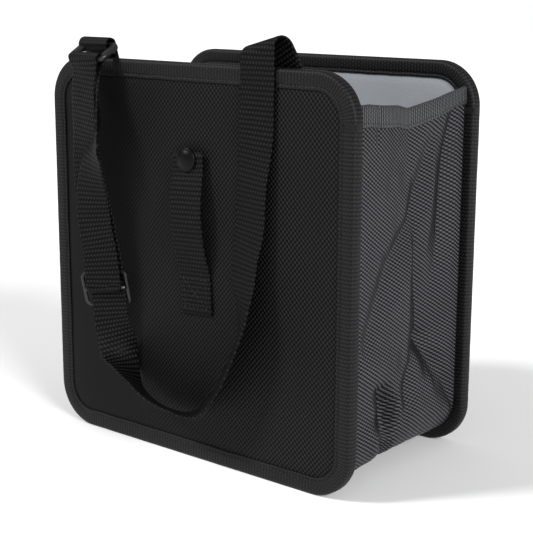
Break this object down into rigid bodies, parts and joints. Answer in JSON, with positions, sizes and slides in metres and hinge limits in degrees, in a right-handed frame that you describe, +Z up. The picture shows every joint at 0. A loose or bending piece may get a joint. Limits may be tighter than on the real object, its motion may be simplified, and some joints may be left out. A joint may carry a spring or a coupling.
{
  "type": "garden tool bag",
  "caption": "Open-topped tote with stiff bound panels, a soft folding gusset, a webbing carry strap with slider, and a snap-fastened belt loop.",
  "frame": {"origin": "middle of the front panel's bottom edge, on the surface the bag stands on", "axes": "+X to the right along the front panel, +Y from the front panel to the rear panel, +Z up out of the bag's mouth"},
  "size_m": [0.245, 0.1607, 0.2637],
  "materials": {
    "board": "stiff closed-cell board, hidden inside the panels",
    "ballistic_nylon": "black coarse ballistic weave with small raised cells",
    "lining": "silver-grey coated waterproof lining, soft sheen",
    "binding_tape": "black ribbed binding tape",
    "oxford_nylon": "dark grey coated oxford nylon with a fine plain weave",
    "webbing": "black ribbed webbing",
    "thread": "black sewing thread",
    "hardware_plastic": "satin black moulded plastic",
    "snap_metal": "black lacquered snap fastener",
    "washer_steel": "plain steel washer, hidden behind the fabric"
  },
  "bodies": {
    "front_panel": {"front_board": "board", "front_fabric": "ballistic_nylon", "front_lining": "lining", "front_binding": "binding_tape", "front_binding_thread": "thread", "gusset": "oxford_nylon", "gusset_lining": "lining", "left_hem": "oxford_nylon", "right_hem": "oxford_nylon", "hem_thread": "thread", "left_anchor_tab": "webbing", "right_anchor_tab": "webbing", "anchor_stitches": "thread", "strap_bend": "webbing", "loop_foot": "webbing", "loop_stitches": "thread", "snap_stud": "snap_metal", "stud_washer": "washer_steel"},
    "rear_panel": {"rear_board": "board", "rear_fabric": "ballistic_nylon", "rear_lining": "lining", "rear_binding": "binding_tape", "rear_binding_thread": "thread"},
    "strap": {"strap_ring": "hardware_plastic", "carry_strap": "webbing", "return_leg": "webbing"},
    "slider": {"strap_slider": "hardware_plastic", "strap_end_loop": "webbing"},
    "flap": {"loop_flap": "webbing", "snap_socket": "snap_metal", "snap_cap": "snap_metal"}
  },
  "joints": [
    {"name": "panel_fold", "type": "slide", "parent": "front_panel", "child": "rear_panel", "axis": [0, -1, 0], "range_m": [0, 0.105], "deforming": ["gusset", "gusset_lining", "left_hem", "right_hem", "hem_thread"]},
    {"name": "strap_swing", "type": "hinge", "parent": "front_panel", "child": "strap", "pos_m": [-0.0785, -0.00015, 0.2575], "axis": [-1, 0, 0], "range_deg": [0, 175], "deforming": ["strap_bend"]},
    {"name": "slider_slide", "type": "slide", "parent": "strap", "child": "slider", "axis": [-0.1407, 0.0272, 0.9897], "range_m": [0, 0.07], "deforming": ["return_leg"]},
    {"name": "flap_open", "type": "hinge", "parent": "front_panel", "child": "flap", "pos_m": [0.004, -0.0046, 0.122], "axis": [0.9986, 0, 0.0523], "range_deg": [0, 150]}
  ]
}
